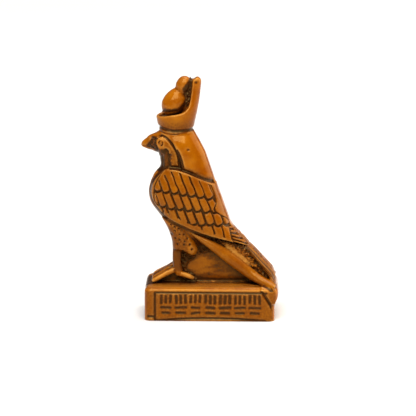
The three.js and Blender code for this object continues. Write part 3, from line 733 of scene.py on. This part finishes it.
# Plinth top: a ragged line of resin along the foot of the web, painted pale as a highlight, with
# wash and painted shade pooled beside it, and a dark line round the foot of each lower band.
plan_view = np.stack([y_at, breadth], 1)
top = np.flatnonzero((np.abs(z_at) < 1.6) & (facing[:, 2] > 0.25) & (breadth < 18.4) & ~in_wing)
ragged = np.array([noise.noise(Vector((y * 0.35, 0, 3))) + 0.5 * noise.noise(Vector((y * 1.1, 0, 7)))
                   for y in y_at[top]])
at_feet = step(-4.8, -8, y_at[top])
beside = breadth[top] - 3.9 - 5 * at_feet + 1.4 * ragged
shade_pool_width = 5.2 - 2.8 * at_feet
# Wash and painted shade pooled on the plinth top beside the web's foot and the toes.
deepen(wash_and_shade, top, 0.98 * step(shade_pool_width, 0.2 * shade_pool_width, beside) * step(27, 22, y_at[top]))
flash = np.exp(-(beside / 0.42) ** 2) * step(-27, -25, y_at[top]) * step(24, 20, y_at[top])
depth[top] -= 0.16 * flash
wash_and_shade[top] *= 1 - 0.9 * flash
band_foot = line([(17, 11), (21, 12), (25, 14.2), (28.6, 16.6), (31.4, 17.7)], 10)
groove(top, band_foot, 1.2, 0.16, 1.0, plan_view)

# Rough resin: the recess under the wing with a pale smear along it, the gap behind the bulb, the
# corners behind the legs, and the swell at the feet with the second toe on its sides.
swell_skin = np.array(swell_outline) + (0, 0.8)
rubbed_path = [(8.5, 18.2), (11.5, 16), (18.5, 10.4)]
smeared = np.exp(-(distance(side_view, rubbed_path) / 1.6) ** 2) * (breadth > 5) * (breadth < 8.6)
# The smear clears the wash, and so do the painted highlights on the ragged line and the second toe.
wiped_and_highlit = 0.75 * smeared
deepen(wiped_and_highlit, top, 0.85 * flash)
deepen(painted_highlight, top, flash)
for outline, low, high, rough, sideways in (
        (recess_outline, 5.5, 8.4, 0.2, 0.3), (crown_gap, 0, 2.3, 0.12, 0.2),
        (swell_skin, 0, 3.4, 0.05, -1), (behind_thigh, 0, 3.2, 0.12, 0.2),
        (behind_leg, 0, 3.2, 0.12, 0.2)):
    where = np.flatnonzero(inside(side_view, outline) & (breadth >= low) & (breadth <= high)
                           & (facing[:, 0] * np.sign(points[:, 0]) > sideways) & ~in_wing)
    lumps = np.array([noise.turbulence(Vector(spot) * 2.3, 3, False) for spot in points[where]])
    depth[where] += rough * (lumps - 0.5) * 2 * (1 - 0.85 * smeared[where])
    deepen(wash_and_shade, where, step(0.15, 0.5, lumps) * 0.6 + 0.38)
in_swell = inside(side_view, swell_skin)
swell_sides = np.flatnonzero(in_swell & (breadth < 5.5) & (breadth > 0.6) & (y_at < -16))
second_toe = np.array([(-27.4, 1.2), (-21.9, 4.7), (-17.6, 7.6)])
for rise in (0, 1.7):
    groove(swell_sides, second_toe + (0, rise), 0.8, 0.12, 0.95)
toe_ridge = np.exp(-(distance(side_view[swell_sides], second_toe + (0, 0.85)) / 0.45) ** 2)
depth[swell_sides] -= 0.08 * toe_ridge
# A painted highlight along the second toe.
deepen(painted_highlight, swell_sides, 0.35 * toe_ridge)
deepen(wiped_and_highlit, swell_sides, 0.35 * toe_ridge)
in_swell &= breadth < 3.4
lumpy = ((inside(side_view, recess_outline) & (breadth < 8.6)) | in_swell) & ~in_wing
wash_and_shade = np.maximum(wash_and_shade, 0.6 * (in_swell & (z_at > 0.3)))

# Panel on the plinth: a frame of thin lines, open at the tail end, with an arched foot line, and
# inside it rows of short plain strokes that spell nothing.
panel_margin = 0.85
panel_deep = 0.2
panel_top = plinth_height - panel_margin
panel_start = plinth_front + 1.75
panel_end = plinth_back - 1.6
low_line = 0.42
to_shares = np.array([0, -plinth_height])


def panel(path):
    """A path in millimetres on the plinth's side, as a side view path."""
    return (np.array(path, float) + to_shares) / share


faces = np.flatnonzero((points[:, 2] < plinth_height - 0.5) & (np.abs(facing[:, 0]) > 0.8))
left_face = faces[points[faces, 0] > 0]
line_width = 0.4 / share
top_line = [(panel_start, panel_top), (panel_end + 0.3, panel_top)]
front_line = [(panel_start, panel_top), (panel_start, 0)]
foot_line = line([(panel_start, low_line - 0.4), (panel_start + 5.9, low_line),
                  (panel_end - 5.5, low_line), (panel_end, low_line - 0.35)], 16)
corner_line = [(plinth_front + 0.2, 0.75), (panel_start, 0.68)]
for path in (top_line, front_line, foot_line, corner_line):
    groove(faces, panel(path), line_width, panel_deep)
flap_line = [(flap_start - 0.1, plinth_height - 0.2), (flap_start + 0.6, plinth_height - 1.3),
             (plinth_back - 0.75, plinth_height - flap_drop + 0.1), (plinth_back - 0.3, 2.1)]
groove(faces, panel(flap_line), 1.4, 0.24)
stroke_groups = 7
stroke_pitch = (panel_end - panel_start - 1) / stroke_groups
stroke_gap = 0.75
for i in range(stroke_groups):
    y = panel_start + 0.6 + (i + 0.5) * stroke_pitch
    width = chance.uniform(0.46, 0.6) / share
    for start in (y - stroke_gap, y, y + stroke_gap):
        stroke_top = panel_top - chance.uniform(0.5, 0.65)
        lean = chance.uniform(-0.06, 0.06)
        foot = (start + lean, stroke_top - chance.uniform(0.95, 1.2))
        groove(left_face, panel([(start, stroke_top), foot]), width, 0.15)
    for fall in (2.5, 3.4):
        reach = chance.uniform(0.55, 0.85)
        z = panel_top - fall
        tilt = chance.uniform(-0.08, 0.08)
        groove(left_face, panel([(y - reach, z - tilt), (y + reach, z + tilt)]), width, 0.14)

# Thin film: a brown film dulls the plinth's faces and top, the wings, the lower bands, the legs and
# inner toes, and the web, where it lies in streaks; on the legs it is thicker low down, above the feet.
# Round the foot of the crown it is painted shade, darkest low on the flaring cup.
upright = np.abs(facing[:, 0]) > 0.6
leg_film = (0.55 + 0.12 * step(17, 15.5, z_at)) * step(0, 2.2, z_at - np.where(y_at > -17.3, 4.4, 7.5))
leg_film *= (1 - 0.6 * step(-11.5, -8.5, y_at)) * step(10.5, 9.6, breadth) * step(32.5, 26.5, z_at)
inner_toes = (z_at > 0) & (z_at < 9) & (y_at < -15.4) & (breadth < leg_x + 0.9) & (breadth > 3.1)
# Painted shade round the foot of the crown, darkest low on the cup.
crown_shade = (0.22 + 0.28 * step(80.5, 76, z_at)) * step(73.6, 75, z_at) * step(88, 82, z_at)
thin_film = np.maximum.reduce([
    0.46 * upright * step(-0.6, -2.2, z_at) * (breadth > 12),
    0.36 * in_wing,
    0.37 * ((z_at < 27) & (z_at > 0.8) & (y_at > -9)),
    0.32 * (np.abs(z_at) < 0.8),
    leg_film * ((y_at < -5) & ~in_wing),
    0.6 * inner_toes,
    crown_shade * (y_at > -27),
])
on_web = np.flatnonzero((z_at > -0.2) & (z_at < 24) & (y_at > -14) & (breadth < 3.4))
patches = np.array([noise.noise(Vector(spot) * 0.45) for spot in points[on_web]])
streaks = np.array([noise.fractal(Vector((5, y * 0.5 + z * 0.3, z * 1.9 - y * 0.35)), 0.7, 2.1, 4)
                    for y, z in side_view[on_web] * share])
thin_film[on_web] = 0.2 + 0.22 * step(-0.3, 0.4, patches) + 0.42 * step(-0.2, 0.7, streaks)
wash_and_shade = np.maximum(wash_and_shade, thin_film)

# Tool marks: casting unevenness over the whole skin, but for the flat underside.
uneven_deep = 0.02
uneven = np.array([noise.fractal(Vector(spot) * 0.7, 0.8, 2.1, 4) for spot in points])
depth += uneven_deep * uneven
depth[points[:, 2] < 0.02] = 0
carved = points - facing * depth[:, None]
put(figure.data, carved)

# Dark wash: brown paint left wherever the skin is hollow, which also spreads a little round every
# line. It is read from the carved skin at three widths of hollow and kept, with the painted shade set
# above, as an attribute. Raised edges are painted paler, partly as rubbed wear and partly as a painted
# highlight, which with the other painted highlights is a second attribute.
facing = read(figure.data, "normal")
hollow = np.zeros(len(points))
hollow_widths = ((6, 0.022), (30, 0.07), (160, 0.26))
for passes, scale in hollow_widths:
    sunk = ((relaxed(figure.data, carved, passes) - carved) * facing).sum(1)
    hollow = np.maximum(hollow, np.clip(sunk / scale, 0, 1))
halo = 0.7 * relaxed(figure.data, wash_and_shade[:, None], 16)[:, 0]
wash_and_shade = np.maximum.reduce([wash_and_shade * 0.92, hollow, halo]) * (1 - wiped_and_highlit)
wash_and_shade = relaxed(figure.data, wash_and_shade[:, None], 1)[:, 0]
wash_shade_layer = figure.data.attributes.new("wash_and_shade", 'FLOAT', 'POINT')
wash_shade_layer.data.foreach_set("value", wash_and_shade)
# Raised edges are painted paler, partly as rubbed wear and partly as a painted highlight. The plinth
# top's outer shelf, the ridge beside the tail scores and the painted highlights above are painted pale
# too, along with the pale smear.
pale_edge_start, pale_edge_range = 0.008, 0.035
raised = ((carved - relaxed(figure.data, carved, 14)) * facing).sum(1)
sheltered = (in_wing & (wing_rim_gap > 1.1)) | lumpy
plinth_shelf = (np.abs(z_at) < 0.5) & (facing[:, 2] > 0.9)
worn_and_highlit = np.maximum.reduce([
    np.clip((raised - pale_edge_start) / pale_edge_range, 0, 1) * np.where(sheltered, 0.2, 1),
    0.4 * plinth_shelf * step(7, 11, breadth), 0.9 * tail_ridge, painted_highlight, 0.8 * smeared])
rub_highlight_layer = figure.data.attributes.new("rub_and_highlight", 'FLOAT', 'POINT')
rub_highlight_layer.data.foreach_set("value", worn_and_highlit)

# Finished mesh: the skin is set in the frame's metres with the tail end at the back of its box,
# and thinned out. A sliver that the thinning cuts loose is dropped, and nothing passes the box.
# Rays then find the corners that are closed in on most sides, which get painted shade in the wash.
carved[:, 1] += cad_box[1].y * 1000 - flap_end
put(figure.data, carved * 0.001)
most_triangles = 196000
triangles = sum(len(face.vertices) - 2 for face in figure.data.polygons)
thin = figure.modifiers.new("thin", 'DECIMATE')
thin.ratio = most_triangles / triangles
bpy.ops.object.modifier_apply(modifier=thin.name)
bpy.ops.object.mode_set(mode='EDIT')
bpy.ops.mesh.select_all(action='DESELECT')
bpy.ops.object.mode_set(mode='OBJECT')
max(figure.data.vertices, key=lambda vertex: vertex.co.z).select = True
bpy.ops.object.mode_set(mode='EDIT')
bpy.ops.mesh.select_linked()
bpy.ops.mesh.select_all(action='INVERT')
bpy.ops.mesh.delete(type='VERT')
bpy.ops.object.mode_set(mode='OBJECT')
put(figure.data, np.clip(read(figure.data, "co"), np.array(cad_box[0]), np.array(cad_box[1])))
bpy.ops.object.shade_smooth()
around = BVHTree.FromPolygons(
    [vertex.co for vertex in figure.data.vertices],
    [face.vertices for face in figure.data.polygons])
ray_start = 0.00004
ray_reach = 0.0022
ray_rings = ((0.45, 4), (1.05, 8))
rays = [Vector((math.cos(turn) * math.sin(tilt), math.sin(turn) * math.sin(tilt), math.cos(tilt)))
        for tilt, count in ray_rings for turn in (np.arange(count) + tilt) * 2 * math.pi / count]
occlusion_shade = np.zeros(len(figure.data.vertices))
for i, vertex in enumerate(figure.data.vertices):
    outward = vertex.normal.to_track_quat('Z', 'Y')
    start = vertex.co + vertex.normal * ray_start
    hits = sum(around.ray_cast(start, outward @ ray, ray_reach)[0] is not None for ray in rays)
    occlusion_shade[i] = hits / len(rays)
occlusion_shade = relaxed(figure.data, occlusion_shade[:, None], 3)[:, 0]
shade_start, shade_range = 0.4, 0.45
wash_shade_layer = figure.data.attributes["wash_and_shade"]
wash_and_shade = np.empty(len(occlusion_shade))
wash_shade_layer.data.foreach_get("value", wash_and_shade)
# Painted shade: corners closed in on most sides are darkened.
wash_and_shade = np.maximum(wash_and_shade, np.clip((occlusion_shade - shade_start) / shade_range, 0, 1))
wash_shade_layer.data.foreach_set("value", wash_and_shade)

# Varnished resin: honey amber, clouded darker, and paler where it is rubbed and where highlights are
# painted. The wash and the painted shade turn it to a brown stain where they are thin and nearly black
# where they are thick, and dull the gloss there.


class Socket:
    """A shader socket whose sums and products add Math nodes."""

    def __init__(self, output):
        self.output = output

    @staticmethod
    def node(tree, kind, settings=None, inputs=None, output=0):
        """Adds a node with its settings and its sockets' values or links."""
        made = tree.nodes.new(kind)
        for name, value in (settings or {}).items():
            setattr(made, name, value)
        for name, value in (inputs or {}).items():
            if isinstance(value, Socket):
                tree.links.new(value.output, made.inputs[name])
            else:
                made.inputs[name].default_value = value
        return Socket(made.outputs[output])

    def sum(self, operation, first, second):
        tree = self.output.id_data
        return Socket.node(tree, "ShaderNodeMath", {"operation": operation}, {0: first, 1: second})

    def __add__(self, other):
        return self.sum("ADD", self, other)

    def __radd__(self, other):
        return self.sum("ADD", other, self)

    def __sub__(self, other):
        return self.sum("SUBTRACT", self, other)

    def __rsub__(self, other):
        return self.sum("SUBTRACT", other, self)

    def __mul__(self, other):
        return self.sum("MULTIPLY", self, other)

    def __rmul__(self, other):
        return self.sum("MULTIPLY", other, self)


amber = (0.33, 0.098, 0.001, 1)
deep_amber = (0.21, 0.046, 0.0003, 1)
pale_amber = (0.5, 0.225, 0.04, 1)
brown_stain_and_shade = (0.12, 0.026, 0.001, 1)
dark_wash_and_shade = (0.024, 0.005, 0.001, 1)
resin = bpy.data.materials.new("amber_resin")
resin.use_nodes = True
tree = resin.node_tree
shader = tree.nodes["Principled BSDF"]
metres = Socket.node(tree, "ShaderNodeTexCoord", output="Object")
millimetres = Socket.node(tree, "ShaderNodeVectorMath", {"operation": 'SCALE'}, {
    0: metres, "Scale": 1000.0})
clouds, specks, fine = (
    Socket.node(tree, "ShaderNodeTexNoise", {}, {
        "Vector": millimetres, "Scale": grain, "Detail": detail})
    for grain, detail in ((0.3, 4.0), (3.0, 5.0), (9.0, 3.0)))
# The wash attribute holds the dark wash and the painted shade; the rubbed one holds wear and painted
# highlights.
wash_shade_amount = Socket.node(tree, "ShaderNodeAttribute", {"attribute_name": "wash_and_shade"}, output="Fac")
mask = Socket.node(tree, "ShaderNodeMapRange", {"interpolation_type": 'SMOOTHSTEP'}, {
    "Value": wash_shade_amount * (0.45 + specks * 0.9), "From Min": 0.06, "From Max": 0.9})
rub_and_highlight = Socket.node(tree, "ShaderNodeAttribute", {"attribute_name": "rub_and_highlight"}, output="Fac")
colour = deep_amber
for amount, over in ((clouds * 3.0 - 1.0, amber), (rub_and_highlight * (0.3 + specks), pale_amber),
                     (mask * 2.0, brown_stain_and_shade), (mask * 2.0 - 1.0, dark_wash_and_shade)):
    colour = Socket.node(tree, "ShaderNodeMix", {"data_type": 'RGBA', "clamp_factor": True}, {
        0: amount, 6: colour, 7: over}, output=2)
tree.links.new(colour.output, shader.inputs["Base Color"])
roughness = 0.1 + mask * 0.24 + fine * 0.08
tree.links.new(roughness.output, shader.inputs["Roughness"])
bump = Socket.node(tree, "ShaderNodeBump", {}, {"Strength": 0.1, "Distance": 0.00002, "Height": fine})
tree.links.new(bump.output, shader.inputs["Normal"])
shader.inputs["Specular Tint"].default_value = (1, 0.7, 0.22, 1)
shader.inputs["Specular IOR Level"].default_value = 0.3
figure.data.materials.clear()
figure.data.materials.append(resin)
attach(figure, "root")
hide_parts("falcon_figure")

# Floor: a plain pale table top, wide enough that no edge of it shows.
bpy.ops.mesh.primitive_plane_add(size=4)
floor = bpy.context.object
floor.name = "floor"
floor_finish = bpy.data.materials.new("pale_floor")
floor_finish.use_nodes = True
floor_shader = floor_finish.node_tree.nodes["Principled BSDF"]
floor_shader.inputs["Base Color"].default_value = (0.64, 0.64, 0.64, 1)
floor_shader.inputs["Roughness"].default_value = 0.6
floor.data.materials.append(floor_finish)

# Light: a large soft box high on the figure's left, a dimmer one overhead, a warm one behind, and
# a dim warm room all round, so that the varnish shines on what faces up and stays clear on what
# faces the camera.
aim = Vector((0, -0.00036, 0.01776))


def soft_box(name, at, size, power, tint=(1, 1, 1)):
    """A square lamp that faces the figure."""
    light = bpy.data.lights.new(name, 'AREA')
    light.size = size
    light.energy = power
    light.color = tint
    lamp = bpy.data.objects.new(name, light)
    lamp.location = at
    lamp.rotation_euler = (aim - lamp.location).to_track_quat('-Z', 'Y').to_euler()
    bpy.context.collection.objects.link(lamp)


soft_box("high left", Vector((0.62, -0.06, 0.9)), 0.95, 23)
soft_box("overhead", Vector((-0.25, 0.2, 1.1)), 0.7, 8)
soft_box("behind", Vector((-0.35, 1.0, 0.5)), 1.1, 11, (1, 0.8, 0.5))
room = bpy.data.worlds.new("room")
room.use_nodes = True
room.node_tree.nodes["Background"].inputs["Color"].default_value = (1, 0.85, 0.62, 1)
room.node_tree.nodes["Background"].inputs["Strength"].default_value = 0.18
bpy.context.scene.world = room
bpy.context.scene.view_settings.view_transform = 'Standard'

# Camera: level with the figure's left side and a little above it, as in the photo.
azimuth, elevation, reach = math.radians(92), math.radians(12.3), 1.5
view_height = 0.0685
back = Vector((math.sin(azimuth) * math.cos(elevation), -math.cos(azimuth) * math.cos(elevation),
               math.sin(elevation)))
camera_data = bpy.data.cameras.new("camera")
camera_data.angle = 2 * math.atan(view_height / 2 / reach)
camera_data.clip_start = 0.01
camera = bpy.data.objects.new("camera", camera_data)
camera.location = aim + back * reach
camera.rotation_euler = back.to_track_quat('Z', 'Y').to_euler()
bpy.context.collection.objects.link(camera)
bpy.context.scene.camera = camera
